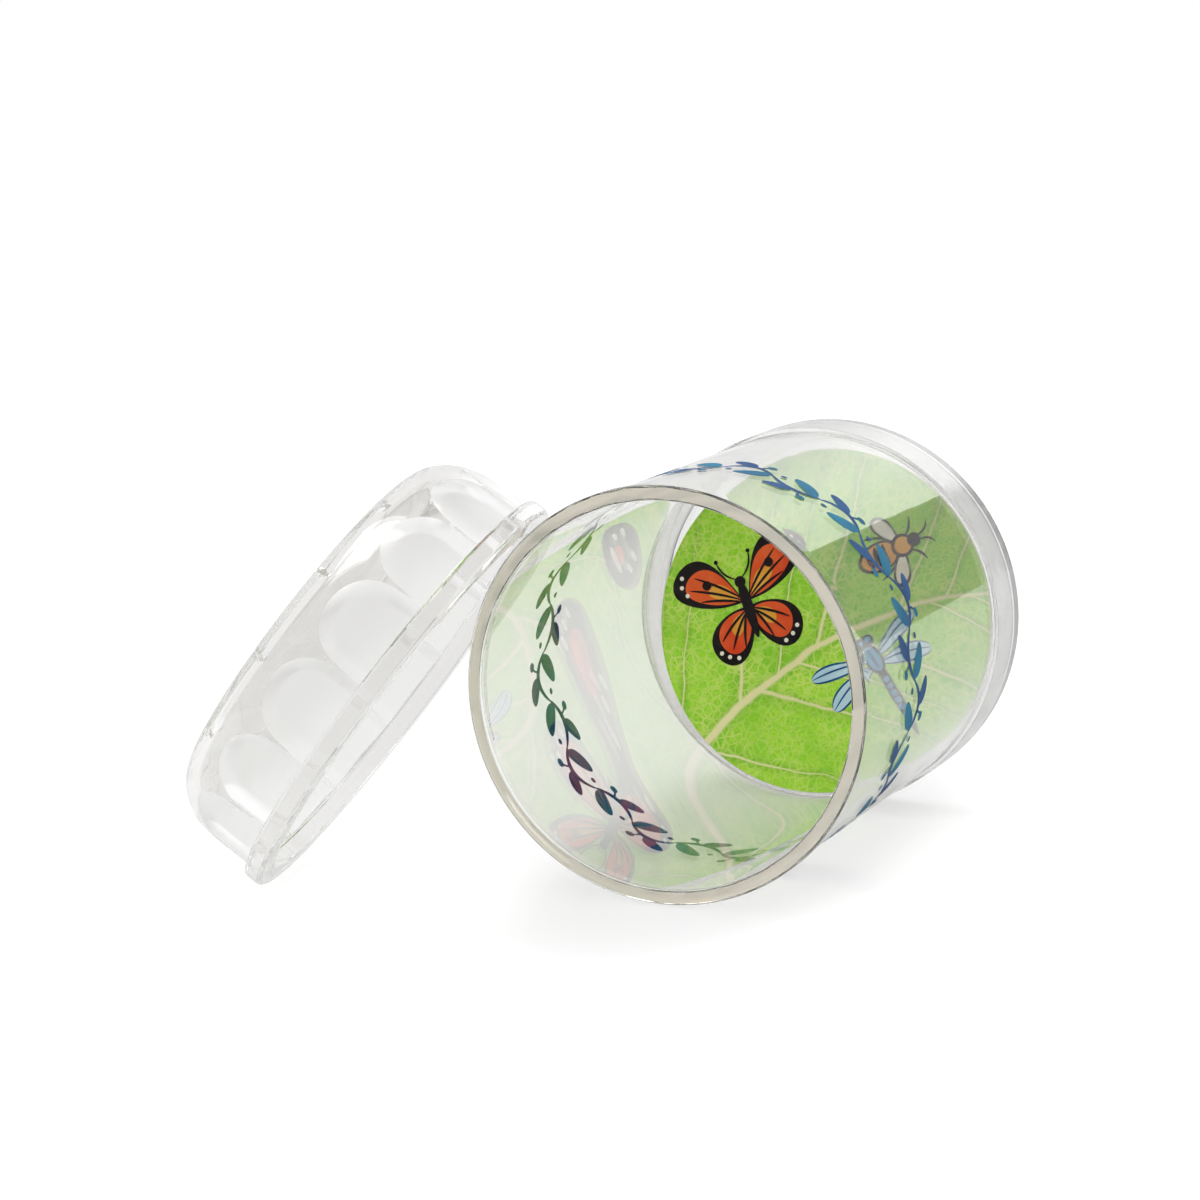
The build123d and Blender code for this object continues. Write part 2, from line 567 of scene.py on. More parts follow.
@dataclass(frozen=True)
class LeafPrint(Finish):
    """Offset print of a leaf seen close up, on varnished card.

    Pale veins branch from a bowed midrib and thin out towards the leaf's edge, finer rungs join them, and a
    net of small cells fills the rest, clearer in some patches than in others. Sizes are in millimetres.
    """

    name: str = "leaf_print_varnished"
    deep: str = "#58ae0a"
    shade: str = "#78cc12"
    blade: str = "#a4ee2c"
    bright: str = "#caf44a"
    net: str = "#dff47c"
    vein: str = "#f6f1b2"
    stalk_angle: float = radians(38)
    stalk_offset: tuple[float, float, float] = (-6.0, -9.0, 0.0)
    stalk: Vein = Vein(1.0, 1.0)
    stalk_bow: float = 0.006
    stalk_taper: float = 0.008
    branch_spacing: float = 12.0
    branch_stagger: float = 2.4
    branch: Vein = Vein(0.65, 0.9)
    branch_lean: float = 0.9
    branch_taper: float = 0.013
    branch_wave: float = 31.0
    branch_swing: float = 2.8
    rung_spacing: float = 3.8
    rung: Vein = Vein(0.3, 0.6)
    rung_lean: float = 0.35
    cell_size: float = 1.6
    cell: Vein = Vein(0.13, 0.75)
    cell_tint: float = 0.6
    pore_size: float = 0.65
    pore: Vein = Vein(0.13, 0.35)
    vein_core: float = 0.3
    drift_size: float = 14.0
    drift: float = 3.4
    ruffle_size: float = 2.4
    ruffle: float = 1.0
    clear_patches: Mottle = Mottle(8.0, least=0.25)
    sunny_patches: Mottle = Mottle(28.0)
    speckles: Mottle = Mottle(0.5, 0.45, 0.7, most=0.7)
    halo_width: float = 2.6
    halo_strength: float = 0.6
    roughness: float = 0.4
    gloss: float = 0.3

    def lay_out(self, tree: NodeTree, card: Matrix) -> NodeSocket:
        """Lay the leaf's own axes on the card, with X along the midrib.

        Args:
            tree: node tree that takes the nodes.
            card: the card's own axes, with its printed face up.
        Returns:
            Output that gives the place on the leaf, in millimetres.
        """
        offset = Matrix.Translation(Vector(self.stalk_offset) * MM)
        leaf = card @ offset @ Matrix.Rotation(self.stalk_angle, 4, "Z")
        return add_node(tree, "Mapping", {
            "Vector": add_node(tree, "TexCoord").outputs["Object"], "Location": leaf.to_translation(),
            "Rotation": leaf.to_euler(), "Scale": (MM, MM, MM)}, vector_type="TEXTURE").outputs["Vector"]

    def sway(self, tree: NodeTree, place: NodeSocket, size: float, reach: float) -> NodeSocket:
        """Push places about at random, so that lines drawn on them wander.

        Args:
            tree: node tree that takes the nodes.
            place: places on the leaf.
            size: size of one bend.
            reach: how far a place may be pushed.
        Returns:
            Output that gives the pushed places.
        """
        noise = add_node(tree, "TexNoise", {"Vector": place, "Scale": 1 / size, "Detail": SOFT_DETAIL})
        push = add_node(tree, "VectorMath", {0: noise.outputs["Color"], 1: (0.5, 0.5, 0.5)},
                        operation="SUBTRACT")
        return add_node(tree, "VectorMath", {0: push.outputs[0], 1: (reach,) * 3, 2: place},
                        operation="MULTIPLY_ADD").outputs[0]

    def spread_veins(self, tree: NodeTree, place: NodeSocket) -> tuple[NodeSocket, ...]:
        """Spread the branches out from the midrib, and the rungs between the branches.

        Args:
            tree: node tree that takes the nodes.
            place: places on the leaf.
        Returns:
            Outputs that give the distance from the midrib, from a branch and from a rung.
        """
        axes = add_node(tree, "SeparateXYZ", {0: place})
        along = axes.outputs["X"]
        bow = add_node(tree, "Math", {0: along, 1: 2.0}, operation="POWER").outputs[0]
        across = add_node(tree, "Math", {0: bow, 1: self.stalk_bow, 2: axes.outputs["Y"]},
                          operation="MULTIPLY_ADD").outputs[0]
        out = add_node(tree, "Math", {0: across}, operation="ABSOLUTE").outputs[0]
        side = add_node(tree, "Math", {0: across}, operation="SIGN").outputs[0]
        stalk = add_node(tree, "Math", {0: along, 1: self.stalk_taper, 2: out}, operation="MULTIPLY_ADD")
        lean = add_node(tree, "Math", {0: out, 1: -self.branch_lean, 2: along}, operation="MULTIPLY_ADD")
        stagger = add_node(tree, "Math", {0: side, 1: self.branch_stagger, 2: lean.outputs[0]},
                           operation="MULTIPLY_ADD").outputs[0]
        wave = add_node(tree, "Math", {0: stagger, 1: 2 * pi / self.branch_wave}, operation="MULTIPLY")
        swing = add_node(tree, "Math", {0: wave.outputs[0]}, operation="SINE")
        uneven = add_node(tree, "Math", {0: swing.outputs[0], 1: self.branch_swing, 2: stagger},
                          operation="MULTIPLY_ADD")
        middle = add_node(tree, "Math", {0: uneven.outputs[0], 1: self.branch_spacing / 2},
                          operation="PINGPONG").outputs[0]
        branch = add_node(tree, "Math", {0: out, 1: self.branch_taper, 2: middle}, operation="MULTIPLY_ADD")
        climb = add_node(tree, "Math", {0: middle, 1: self.rung_lean, 2: out}, operation="MULTIPLY_ADD")
        rung = add_node(tree, "Math", {0: climb.outputs[0], 1: self.rung_spacing / 2}, operation="PINGPONG")
        return stalk.outputs[0], branch.outputs[0], rung.outputs[0]

    def material(self, card: Matrix) -> Material:
        """Build the print's nodes.

        Args:
            card: the card's own axes, with its printed face up.
        Returns:
            The material of the printed face.
        """
        material = self.start()
        tree = material.node_tree
        place = self.lay_out(tree, card)
        bent = self.sway(tree, place, self.drift_size, self.drift)
        ruffled = self.sway(tree, bent, self.ruffle_size, self.ruffle)
        stalk, branch, rung = self.spread_veins(tree, bent)
        cells, pores = [add_node(tree, "TexVoronoi", {"Vector": ruffled, "Scale": 1 / size},
                                 feature="DISTANCE_TO_EDGE").outputs["Distance"]
                        for size in (self.cell_size, self.pore_size)]
        lines = [add_node(tree, "MapRange", {
            "Value": distance, "From Min": kind.width * self.vein_core, "From Max": kind.width,
            "To Min": kind.strength, "To Max": 0.0}, interpolation_type="SMOOTHSTEP").outputs["Result"]
                 for distance, kind in ((stalk, self.stalk), (branch, self.branch), (rung, self.rung),
                                        (cells, self.cell), (pores, self.pore))]
        veins = add_node(tree, "Math", {0: lines[0], 1: lines[1]}, operation="MAXIMUM").outputs[0]
        mesh = lines[2]
        for line in lines[3:]:
            mesh = add_node(tree, "Math", {0: mesh, 1: line}, operation="MAXIMUM").outputs[0]
        shares = []
        for kind in (self.clear_patches, self.sunny_patches, self.speckles):
            noise = add_node(tree, "TexNoise", {
                "Vector": place, "Scale": 1 / kind.size, "Detail": ROUGH_DETAIL})
            shares.append(add_node(tree, "MapRange", {
                "Value": noise.outputs["Fac"], "From Min": kind.start, "From Max": kind.end,
                "To Min": kind.least, "To Max": kind.most}).outputs["Result"])
        clear, sunny, speckle = shares
        net = add_node(tree, "Math", {0: mesh, 1: clear}, operation="MULTIPLY").outputs[0]
        fill = add_node(tree, "TexVoronoi", {"Vector": ruffled, "Scale": 1 / self.cell_size})
        cell_tint = add_node(tree, "Math", {0: fill.outputs["Color"], 1: self.cell_tint},
                             operation="MULTIPLY").outputs[0]
        nearest = add_node(tree, "Math", {0: stalk, 1: branch}, operation="MINIMUM").outputs[0]
        halo = add_node(tree, "MapRange", {
            "Value": nearest, "From Max": self.halo_width, "To Min": self.halo_strength,
            "To Max": 0.0}).outputs["Result"]
        colour = linear(self.shade)
        for share, over in ((sunny, self.blade), (cell_tint, self.bright), (speckle, self.shade),
                            (halo, self.deep), (net, self.net), (veins, self.vein)):
            colour = add_node(tree, "Mix", {MIX_SHARE: share, MIX_UNDER: colour, MIX_OVER: linear(over)},
                              data_type="RGBA").outputs[MIX_RESULT]
        surface = add_node(tree, "BsdfPrincipled", {
            "Base Color": colour, "Roughness": self.roughness, "Specular IOR Level": self.gloss})
        add_node(tree, "OutputMaterial", {"Surface": surface.outputs["BSDF"]})
        return material


@dataclass(frozen=True)
class CardStock(Finish):
    """Uncoated white board: matt, off-white and faintly mottled by its fibres."""

    name: str = "white_card_stock"
    pale: str = "#f1efe8"
    mottle: str = "#e2dfd4"
    fibre_size: float = 0.6 * MM
    fibre_height: float = 0.03 * MM
    fibre_relief: float = 0.4
    roughness: float = 0.85

    def material(self) -> Material:
        """Build the board's nodes."""
        material = self.start()
        tree = material.node_tree
        place = add_node(tree, "TexCoord").outputs["Object"]
        fibres = add_node(tree, "TexNoise", {
            "Vector": place, "Scale": 1 / self.fibre_size, "Detail": ROUGH_DETAIL})
        colour = add_node(tree, "Mix", {
            MIX_SHARE: fibres.outputs["Fac"], MIX_UNDER: linear(self.mottle), MIX_OVER: linear(self.pale)},
            data_type="RGBA")
        grain = add_node(tree, "Bump", {
            "Height": fibres.outputs["Fac"], "Strength": self.fibre_relief, "Distance": self.fibre_height})
        surface = add_node(tree, "BsdfPrincipled", {
            "Base Color": colour.outputs[MIX_RESULT], "Roughness": self.roughness,
            "Normal": grain.outputs["Normal"]})
        add_node(tree, "OutputMaterial", {"Surface": surface.outputs["BSDF"]})
        return material


@dataclass
class Jar:
    """Lying jar: its tube and its base cap. Levels count from the foot to the mouth."""

    length: float = 91.5 * MM
    bore_radius: float = 33.4 * MM
    body_radius: float = 35.3 * MM
    lip_radius: float = 36.0 * MM
    lip_length: float = 3.0 * MM
    rim_rounding: float = 0.5 * MM
    rim_facing: float = 0.95
    edge_rounding: float = 0.15 * MM
    cap_height: float = 13.8 * MM
    spigot_radius: float = 34.4 * MM
    bond_gap: float = 0.05 * MM
    seam_gap: float = 0.15 * MM
    floor_level: float = 2.9 * MM
    foot_recess: float = 0.9 * MM
    foot_width: float = 4.6 * MM
    foot_rounding: float = 0.6 * MM

    def mouth_centre(self) -> Vector:
        """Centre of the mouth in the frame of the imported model."""
        low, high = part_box("jar_body")
        return Vector(((low.x + high.x) / 2, low.y, (low.z + high.z) / 2))

    def place(self) -> Matrix:
        """Axes of the jar: X stays, Y is up while it lies, and Z runs from its foot to its mouth."""
        foot = self.mouth_centre() + Vector((0, self.length, 0))
        return Matrix.Translation(foot) @ Matrix.Rotation(pi / 2, 4, "X")

    def build_tube(self) -> Object:
        """Turn the tube, with its lip and its spigot."""
        step = self.lip_radius - self.body_radius
        lip_level = self.length - self.lip_length
        shoulder = self.cap_height + self.seam_gap
        tube = turn("jar_tube", trace([
            Corner(self.bore_radius, self.floor_level),
            Corner(self.spigot_radius, self.floor_level, self.edge_rounding),
            Corner(self.spigot_radius, shoulder),
            Corner(self.body_radius, shoulder, self.edge_rounding),
            Corner(self.body_radius, lip_level - step, step),
            Corner(self.lip_radius, lip_level, step / 2),
            Corner(self.lip_radius, self.length, self.rim_rounding),
            Corner(self.bore_radius, self.length, self.rim_rounding),
        ]), closed=True)
        tube.data.materials.append(TUBE_PLASTIC.material())
        tube.data.materials.append(RIM_PLASTIC.material())
        for face in tube.data.polygons:
            face.material_index = int(face.normal.z > self.rim_facing)
        smooth(tube)
        settle(tube, self.place())
        return tube

    def build_cap(self) -> Object:
        """Turn the base cap, with its raised floor and its foot ring."""
        socket = self.spigot_radius + self.bond_gap
        inner_foot = self.lip_radius - self.foot_width
        cap = turn("base_cap_cup", trace([
            Corner(0, self.foot_recess),
            Corner(inner_foot, self.foot_recess, self.edge_rounding),
            Corner(inner_foot, 0, self.edge_rounding),
            Corner(self.lip_radius, 0, self.foot_rounding),
            Corner(self.lip_radius, self.cap_height, self.edge_rounding),
            Corner(socket, self.cap_height, self.edge_rounding),
            Corner(socket, self.floor_level),
            Corner(0, self.floor_level),
        ]), closed=False)
        cap.data.materials.append(BASE_PLASTIC.material())
        smooth(cap)
        settle(cap, self.place())
        return cap


@dataclass
class VineBand:
    """Vine printed round the tube: one repeat is drawn flat, set end to end with its copies and bent."""

    level: float = 62.5 * MM
    repeats: int = 12
    lift: float = 0.01 * MM

    def repeat(self, pitch: float) -> Figure:
        """Draw one wave of the stem, with a leaf, a bud and a berry on each side of it.

        Args:
            pitch: length of one wave, in millimetres.
        Returns:
            The repeat, with the stem along X.
        """
        half = pitch / 2
        strokes = []
        for shift, side in ((0.0, 1), (-half, -1)):
            root, tip = (shift + 0.10 * half, -side * 0.9), (shift + 0.66 * half, side * 3.9)
            stalk, point = (shift + 0.50 * half, -side * 3.0), (shift + 0.98 * half, -side * 6.4)
            knot, berry = (shift + 0.36 * half, -side * 2.7), (shift + 0.22 * half, -side * 5.3)
            strokes += [
                Stroke(Tone.NAVY, (shift, 0), (shift + half, 0), 1.4, -side * 3.1, blunt=0.45),
                Stroke(Tone.TEAL, root, tip, 3.4, side * 0.5, 0.46),
                Stroke(Tone.NAVY, stalk, point, 3.0, -side * 0.4, 0.46),
                Stroke(Tone.NAVY, knot, berry, 0.5, side * 0.3),
                spot(Tone.TEAL, *berry, 0.9),
                spot(Tone.NAVY, shift + 0.84 * half, side * 1.6, 0.6),
            ]
        return Figure("vine_band_print", tuple(strokes))

    def build(self, jar: Jar) -> Object:
        """Print the band on the tube.

        Args:
            jar: the jar that it goes round.
        Returns:
            The band's ink in its place.
        """
        radius = jar.body_radius + self.lift
        pitch = 2 * pi * radius / self.repeats
        band = self.repeat(pitch / MM).draw()
        apply_modifier(band, "ARRAY", count=self.repeats, use_relative_offset=False, use_constant_offset=True,
                       constant_offset_displace=(pitch, 0, 0))
        middle = Vector((-pitch * (self.repeats - 1) / 2, 0, 0))
        settle(band, Matrix.Rotation(pi / 2, 4, "X") @ Matrix.Translation(middle))
        apply_modifier(band, "SIMPLE_DEFORM", deform_method="BEND", deform_axis="Z", angle=2 * pi)
        smooth(band)
        settle(band, jar.place() @ Matrix.Translation((0, -radius, self.level)))
        return band


@dataclass
class Lid:
    """Push-on lid: a rim, a wall with finger scallops, a rounded shoulder and a flat crown with air slots."""

    socket_radius: float = 36.4 * MM
    flange_radius: float = 40.6 * MM
    flange_height: float = 3.6 * MM
    flange_rounding: float = 0.9 * MM
    wall_radius: float = 39.6 * MM
    shoulder_radius: float = 39.4 * MM
    shoulder_height: float = 8.5 * MM
    crown_radius: float = 31.0 * MM
    height: float = 22.0 * MM
    crown_thickness: float = 2.7 * MM
    scallop_count: int = 15
    scallop_radius: float = 45.0 * MM
    scallop_depth: float = 1.7 * MM
    scallop_wall: float = 2.3 * MM
    scallop_phase: float = radians(9)
    scallop_steps: int = 512
    scallop_fit: float = 0.01 * MM
    slot_count: int = 12
    slot_width: float = 1.0 * MM
    slot_length: float = 3.2 * MM
    slot_inset: float = 0.6 * MM
    slot_phase: float = radians(3)
    lean: float = radians(54.4)
    turned: float = radians(9.5)
    lean_gap: float = 0.25 * MM

    def place(self, jar: Jar) -> Matrix:
        """Work out how the lid stands on its flange and leans on the jar's lip.

        Args:
            jar: the jar that it leans on.
        Returns:
            Axes of the lid, with Z from its mouth to its crown.
        """
        ahead = around(1, self.turned)
        up = Vector((0, 0, 1))
        crown_way = up * cos(self.lean) - ahead * sin(self.lean)
        rim_way = up * sin(self.lean) + ahead * cos(self.lean)
        stand = self.flange_radius - self.flange_rounding
        level = stand * sin(self.lean) + self.flange_rounding * (1 - cos(self.lean))
        touch = self.socket_radius * rim_way
        reach = jar.lip_radius + self.lean_gap
        beside = sqrt(reach**2 - (level + touch.z - jar.lip_radius) ** 2)
        mouth = jar.mouth_centre()
        centre = Vector((mouth.x - touch.x - beside, mouth.y - touch.y, level))
        axes = Matrix((rim_way, crown_way.cross(rim_way), crown_way)).transposed()
        return Matrix.Translation(centre) @ axes.to_4x4()

    def dome(self, neck_radius: float, top: float) -> list[Corner]:
        """Corners of a shoulder that rounds over into the crown, as a quarter of an ellipse.

        Args:
            neck_radius: radius where the shoulder starts.
            top: level of the crown.
        Returns:
            Corners from the neck to the crown's centre.
        """
        width = neck_radius - self.crown_radius
        rise = top - self.shoulder_height
        angles = [pi / 2 * step / DOME_STEPS for step in range(DOME_STEPS + 1)]
        return [Corner(self.crown_radius + width * cos(angle), self.shoulder_height + rise * sin(angle))
                for angle in angles] + [Corner(0, top)]

    @property
    def rod_reach(self) -> float:
        """Distance from the lid's axis to the axis of a rod that hollows a scallop out."""
        return self.wall_radius - self.scallop_depth + self.scallop_radius

    def flutes(self, radius: float) -> list[Object]:
        """Rods beside the wall that hollow the scallops out.

        Args:
            radius: radius of the rods.
        Returns:
            One rod for each scallop.
        """
        rods = []
        for index in range(self.scallop_count):
            angle = self.scallop_phase + 2 * pi * index / self.scallop_count
            bpy.ops.object.select_all(action="DESELECT")
            bpy.ops.mesh.primitive_cylinder_add(
                vertices=self.scallop_steps, radius=radius, depth=self.height, rotation=(0, 0, angle),
                location=around(self.rod_reach, angle, self.flange_height + self.height / 2))
            rods.append(bpy.context.object)
        return rods

    def in_scallop(self, point: Vector) -> bool:
        """Tell whether a point of the lid lies on the outer face of a scallop.

        Args:
            point: place about the lid's own axis.
        Returns:
            Whether it is as far from the nearest rod's axis as the rod's surface.
        """
        step = 2 * pi / self.scallop_count
        angle = round((atan2(point.y, point.x) - self.scallop_phase) / step) * step + self.scallop_phase
        rod = around(self.rod_reach, angle)
        return abs((point.xy - rod.xy).length - self.scallop_radius) < self.scallop_fit

    def finish_of(self, face: MeshPolygon) -> ClearPlastic:
        """Pick the finish of one of the lid's faces.

        Args:
            face: face of the lid, about its own axis.
        Returns:
            The frosted finish in a scallop, or else that of the inside or of the outside.
        """
        if self.in_scallop(face.center):
            return GRIP_PLASTIC
        middle = Vector((0, 0, self.shoulder_height))
        return CORE_PLASTIC if face.normal.dot(middle - face.center) > 0 else LID_PLASTIC

    def slots(self) -> list[Object]:
        """Bars that cut the air slots at the crown's edge."""
        reach = self.crown_radius - self.slot_inset + self.slot_length / 2
        bars = []
        for index in range(self.slot_count):
            angle = self.slot_phase + 2 * pi * index / self.slot_count
            bpy.ops.object.select_all(action="DESELECT")
            bpy.ops.mesh.primitive_cube_add(
                size=1, scale=(self.slot_length, self.slot_width, 2 * self.crown_thickness),
                rotation=(0, 0, angle), location=around(reach, angle, self.height))
            bars.append(bpy.context.object)
        return bars

    def build(self, jar: Jar) -> Object:
        """Turn the lid, hollow it, and cut its scallops and slots.

        Args:
            jar: the jar that it leans on.
        Returns:
            The lid in its place.
        """
        lid = turn("push_on_lid", trace([
            Corner(0, 0),
            Corner(self.flange_radius, 0, self.flange_rounding),
            Corner(self.flange_radius, self.flange_height, self.flange_rounding),
            Corner(self.wall_radius, self.flange_height),
            *self.dome(self.shoulder_radius, self.height),
        ]), closed=False)
        cut(lid, self.flutes(self.scallop_radius))
        below = -self.flange_height
        hollow = turn("lid_hollow", trace([
            Corner(0, below),
            Corner(self.socket_radius, below),
            *self.dome(self.socket_radius, self.height - self.crown_thickness),
        ]), closed=False)
        cut(hollow, self.flutes(self.scallop_radius + self.scallop_wall))
        cut(lid, [hollow, *self.slots()])
        lid.data.materials.clear()
        finishes = [LID_PLASTIC, CORE_PLASTIC, GRIP_PLASTIC]
        for finish in finishes:
            lid.data.materials.append(finish.material())
        for face in lid.data.polygons:
            face.material_index = finishes.index(self.finish_of(face))
        smooth(lid)
        settle(lid, self.place(jar))
        return lid


@dataclass
class PictureCard:
    """Loose round card with a leaf printed on it, which leans against the lying jar's floor."""

    radius: float = 32.0 * MM
    thickness: float = 0.8 * MM
    edge_rounding: float = 0.12 * MM
    lean: float = radians(11)
    loose_gap: float = 0.3 * MM

    def place(self, jar: Jar) -> Matrix:
        """Work out how the card leans in the jar.

        Args:
            jar: the jar that holds it.
        Returns:
            Axes of the card, with its printed face along Z.
        """
        half = self.thickness / 2
        drop = jar.bore_radius - self.loose_gap - self.radius * cos(self.lean) - half * sin(self.lean)
        rise = jar.floor_level + self.loose_gap + self.radius * sin(self.lean) + half * cos(self.lean)
        seat = Matrix.Translation((0, -drop, rise))
        return jar.place() @ seat @ Matrix.Rotation(-self.lean, 4, "X")

    def build(self, jar: Jar) -> Object:
        """Turn the card, with its print on one face and bare board elsewhere.

        Args:
            jar: the jar that holds it.
        Returns:
            The card in its place.
        """
        half = self.thickness / 2
        card = turn("leaf_card", trace([
            Corner(0, -half),
            Corner(self.radius, -half, self.edge_rounding),
            Corner(self.radius, half, self.edge_rounding),
            Corner(0, half),
        ]), closed=False)
        smooth(card)
        card.data.materials.append(CardStock().material())
        card.data.materials.append(LeafPrint().material(self.place(jar)))
        for face in card.data.polygons:
            face.material_index = int(face.normal.z > cos(CREASE_ANGLE))
        settle(card, self.place(jar))
        return card

    def build_prints(self, jar: Jar) -> list[Object]:
        """Print the insects on the leaf.

        Args:
            jar: the jar that holds the card.
        Returns:
            One piece of ink for each insect.
        """
        prints = []
        for figure, x, y, heading in (
            (butterfly(), -14.5, 2.5, radians(24)),
            (dragonfly(), 12.0, -9.0, radians(38)),
            (bee(), 12.5, 14.0, radians(-60)),
        ):
            ink = figure.draw()
            spot_on_card = Matrix.Translation((x * MM, y * MM, self.thickness / 2))
            settle(ink, self.place(jar) @ spot_on_card @ Matrix.Rotation(heading, 4, "Z"))
            prints.append(ink)
        return prints


@dataclass
class Studio:
    """White studio: floor, backdrop, softbox and camera.

    The camera's eye and the floor's painted shade under the jar, where the floor glows less, are placed from
    the jar's mouth. Glows and levels are brightnesses, where 1 shows as white.
    """

    eye: tuple[float, float, float] = (221.6 * MM, -567.9 * MM, 128.2 * MM)
    view_turn: float = radians(22.30)
    view_drop: float = radians(10.37)
    focal_pixels: float = 3700.0
    frame_pixels: float = 1200.0
    floor_radius: float = 6.0
    floor_sides: int = 96
    floor_drop: float = 0.1 * MM
    white: str = "#ffffff"
    floor_colour: str = "#a0a0a0"
    # Painted shade: the floor glows less in an oval under the jar, which deepens the jar's shadow there
    painted_shade_glow: float = 0.58
    painted_shade_centre: tuple[float, float, float] = (0.0, 45 * MM, 0.0)
    painted_shade_reach: tuple[float, float, float] = (28 * MM, 88 * MM, 1.0)
    painted_shade_start: float = 0.7
    painted_shade_end: float = 1.3
    floor_glow: float = 0.75
    # The glow rises from floor_glow near the jar to far_glow far off, so the floor is dimmer round the jar:
    # painted shade
    far_glow: float = 0.85
    far_start: float = 0.12
    far_end: float = 0.6
    fill_level: float = 0.98
    room_level: float = 0.7
    room_start: float = -0.5
    room_end: float = -0.1
    gap_turn: float = radians(15)
    gap_width: float = radians(12)
    gap_level: float = 0.25
    gap_depth: float = 4.5
    panel_level: float = 1.8
    wing_start: float = radians(-22)
    wing_end: float = radians(0)
    wing_level: float = 0.8
    # Painted reflection and painted shade: the floor shows dimmer when mirrored in the plastic and when seen
    # through it
    painted_reflection_glow: float = 0.64
    through_shade_glow: float = 0.86
    key_spot: tuple[float, float, float] = (-0.35, 0.0, 0.9)
    key_size: float = 0.5
    key_level: float = 3.0
    bounces: int = 40

    def build_camera(self, mouth: Vector) -> None:
        """Set the camera up where the photograph was taken from.

        Args:
            mouth: centre of the jar's mouth.
        """
        data = bpy.data.cameras.new("camera")
        data.lens = data.sensor_width * self.focal_pixels / self.frame_pixels
        camera = bpy.data.objects.new("camera", data)
        camera.location = mouth + Vector(self.eye)
        camera.rotation_euler = (pi / 2 - self.view_drop, 0, self.view_turn)
        bpy.context.scene.collection.objects.link(camera)
        bpy.context.scene.camera = camera

    def build_floor(self, mouth: Vector) -> None:
        """Lay the floor, which looks white where no shadow falls on it, and glows less under and near the
        jar, a painted shade.

        Args:
            mouth: centre of the jar's mouth.
        """
        bpy.ops.object.select_all(action="DESELECT")
        bpy.ops.mesh.primitive_circle_add(vertices=self.floor_sides, radius=self.floor_radius,
                                          fill_type="TRIFAN", location=(0, 0, -self.floor_drop))
        floor = bpy.context.object
        floor.name = "studio_floor"
        material = Finish("white_sweep").start()
        material.cycles.emission_sampling = "NONE"
        tree = material.node_tree
        place = add_node(tree, "TexCoord").outputs["Object"]
        # Painted shade: the glow is lower in an oval under the jar, and rises away from the jar
        under = add_node(tree, "Mapping", {
            "Vector": place, "Location": mouth + Vector(self.painted_shade_centre), "Scale": self.painted_shade_reach},
            vector_type="TEXTURE").outputs["Vector"]
        beside = add_node(tree, "VectorMath", {0: under}, operation="LENGTH").outputs["Value"]
        near = add_node(tree, "MapRange", {
            "Value": beside, "From Min": self.painted_shade_start, "From Max": self.painted_shade_end,
            "To Min": self.painted_shade_glow, "To Max": self.floor_glow}, interpolation_type="SMOOTHSTEP")
        away = add_node(tree, "VectorMath", {0: place}, operation="LENGTH").outputs["Value"]
        level = add_node(tree, "MapRange", {
            "Value": away, "From Min": self.far_start, "From Max": self.far_end,
            "To Min": near.outputs["Result"], "To Max": self.far_glow}, interpolation_type="SMOOTHSTEP")
        path = add_node(tree, "LightPath")
        # Painted reflection and painted shade: a dimmer floor in the plastic's reflections and through the
        # plastic
        mirrored = add_node(tree, "MapRange", {
            "Value": path.outputs["Is Reflection Ray"], "To Min": 1.0, "To Max": self.painted_reflection_glow})
        through = add_node(tree, "MapRange", {
            "Value": path.outputs["Is Transmission Ray"], "To Min": mirrored.outputs["Result"],
            "To Max": self.through_shade_glow})
        shown = add_node(tree, "Math", {0: self.seen(tree), 1: through.outputs["Result"]},
                         operation="MULTIPLY")
        glow = add_node(tree, "Math", {0: shown.outputs[0], 1: level.outputs["Result"]},
                        operation="MULTIPLY")
        light = add_node(tree, "Emission", {"Strength": glow.outputs[0]})
        matt = add_node(tree, "BsdfDiffuse", {"Color": linear(self.floor_colour)})
        both = add_node(tree, "AddShader", {0: matt.outputs[0], 1: light.outputs[0]})
        add_node(tree, "OutputMaterial", {"Surface": both.outputs[0]})
        floor.data.materials.append(material)

    def seen(self, tree: NodeTree) -> NodeSocket:
        """Tell the rays that see the background, straight or through the plastic, from those that only light.

        Args:
            tree: node tree that takes the nodes.
        Returns:
            Output that is 1 on such a ray and 0 on others.
        """
        path = add_node(tree, "LightPath")
        first = add_node(tree, "Math", {0: path.outputs["Is Camera Ray"], 1: path.outputs["Is Glossy Ray"]},
                         operation="MAXIMUM")
        both = add_node(tree, "Math", {0: first.outputs[0], 1: path.outputs["Is Transmission Ray"]},
                        operation="MAXIMUM")
        clear = add_node(tree, "Math", {0: path.outputs["Diffuse Depth"], 1: 1.0}, operation="LESS_THAN")
        return add_node(tree, "Math", {0: both.outputs[0], 1: clear.outputs[0]},
                        operation="MULTIPLY").outputs[0]

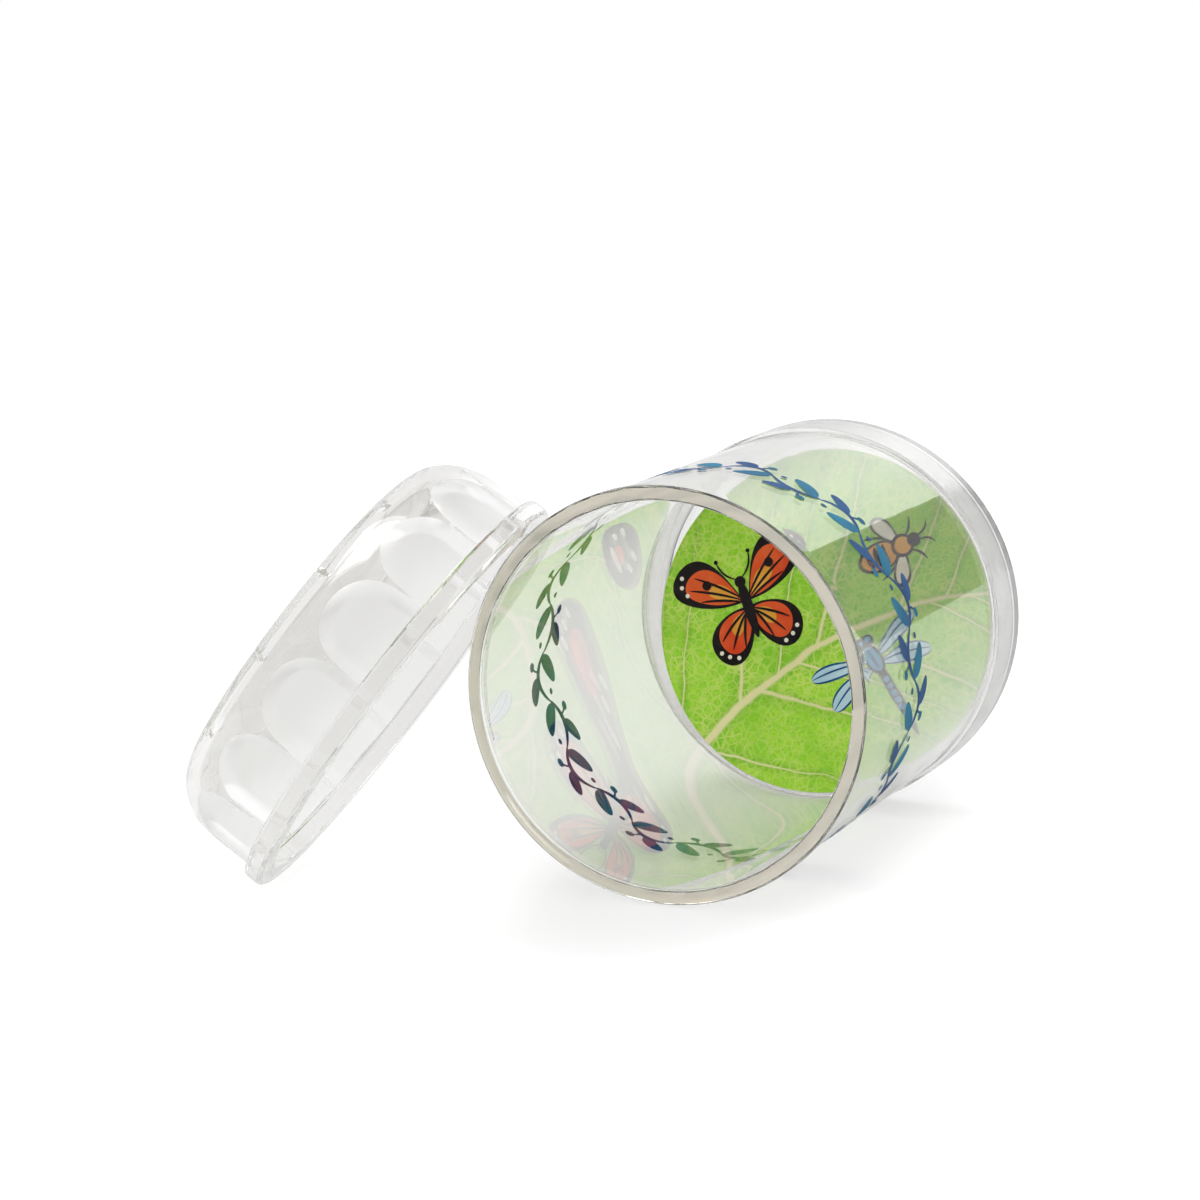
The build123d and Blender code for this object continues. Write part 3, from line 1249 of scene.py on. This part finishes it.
    def build_world(self) -> None:
        """Light the studio evenly, and show its backdrop as white.

        The plastic mirrors and bends a white backdrop with a dark gap between its panels, and a dim room
        behind the camera, which draw its edges. Light that has run a long way inside the plastic is too mixed
        to show the gap.
        """
        world = bpy.data.worlds.new("white_studio")
        bpy.context.scene.world = world
        world.use_nodes = True
        tree = world.node_tree
        tree.nodes.clear()
        way = add_node(tree, "SeparateXYZ", {0: add_node(tree, "TexCoord").outputs["Generated"]})
        turned = add_node(tree, "Math", {0: way.outputs["X"], 1: way.outputs["Y"]}, operation="ARCTAN2")
        path = add_node(tree, "LightPath")
        gap = add_node(tree, "Math", {0: turned.outputs[0], 1: self.gap_turn, 2: self.gap_width / 2},
                       operation="COMPARE")
        direct = add_node(tree, "Math", {0: path.outputs["Ray Depth"], 1: self.gap_depth},
                          operation="LESS_THAN")
        dark = add_node(tree, "Math", {0: gap.outputs[0], 1: direct.outputs[0]}, operation="MULTIPLY")
        panels = add_node(tree, "MapRange", {
            "Value": dark.outputs[0], "To Min": 1.0, "To Max": self.gap_level})
        room = add_node(tree, "MapRange", {
            "Value": way.outputs["Y"], "From Min": self.room_start, "From Max": self.room_end,
            "To Min": self.room_level}, interpolation_type="SMOOTHSTEP")
        around = add_node(tree, "Math", {0: panels.outputs[0], 1: room.outputs[0]}, operation="MULTIPLY")
        wing = add_node(tree, "MapRange", {
            "Value": turned.outputs[0], "From Min": self.wing_start, "From Max": self.wing_end,
            "To Min": self.wing_level, "To Max": self.panel_level}, interpolation_type="SMOOTHSTEP")
        sheen = add_node(tree, "MapRange", {
            "Value": path.outputs["Is Reflection Ray"], "To Min": 1.0, "To Max": wing.outputs["Result"]})
        lit = add_node(tree, "Math", {0: around.outputs[0], 1: sheen.outputs[0]}, operation="MULTIPLY")
        shown = add_node(tree, "Math", {0: lit.outputs[0], 1: path.outputs["Is Camera Ray"]},
                         operation="MAXIMUM")
        level = add_node(tree, "MapRange", {
            "Value": self.seen(tree), "To Min": self.fill_level, "To Max": shown.outputs[0]})
        light = add_node(tree, "Background", {
            "Color": linear(self.white), "Strength": level.outputs["Result"]})
        add_node(tree, "OutputWorld", {"Surface": light.outputs[0]})

    def build_softbox(self, mouth: Vector) -> None:
        """Hang the softbox, which faces the jar.

        Args:
            mouth: centre of the jar's mouth.
        """
        data = bpy.data.lights.new("key_softbox", "AREA")
        data.shape = "SQUARE"
        data.size = self.key_size
        data.energy = self.key_level * pi * self.key_size**2
        lamp = bpy.data.objects.new("key_softbox", data)
        lamp.location = self.key_spot
        lamp.rotation_euler = (mouth - lamp.location).to_track_quat("-Z", "Y").to_euler()
        bpy.context.scene.collection.objects.link(lamp)

    def build(self, mouth: Vector) -> None:
        """Build the whole studio.

        Args:
            mouth: centre of the jar's mouth.
        """
        scene = bpy.context.scene
        scene.view_settings.view_transform = "Standard"
        scene.cycles.max_bounces = self.bounces
        scene.cycles.transmission_bounces = self.bounces
        scene.cycles.glossy_bounces = self.bounces
        scene.cycles.blur_glossy = 0.0
        self.build_camera(mouth)
        self.build_floor(mouth)
        self.build_world()
        self.build_softbox(mouth)


def register(piece: Object, body: Body, node: str | None = None) -> None:
    """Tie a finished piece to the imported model.

    Args:
        piece: the piece.
        body: body that it rides on.
        node: CAD node that it stands for, if any.
    """
    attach(piece, body.value)
    if node:
        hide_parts(node)
    log.info("%s rides on %s, %d faces", piece.name, body.value, len(piece.data.polygons))


def main() -> None:
    """Build the studio and the jar's pieces."""
    jar = Jar()
    lid = Lid()
    card = PictureCard()
    Studio().build(jar.mouth_centre())
    register(jar.build_tube(), Body.JAR, "jar_body")
    register(jar.build_cap(), Body.JAR, "base_cap")
    register(lid.build(jar), Body.LID, "lid")
    register(VineBand().build(jar), Body.JAR)
    register(card.build(jar), Body.CARD, "picture_disc")
    for ink in card.build_prints(jar):
        register(ink, Body.CARD)


if __name__ == "__main__":
    logging.basicConfig(level=logging.INFO, format="%(name)s: %(message)s")
    main()
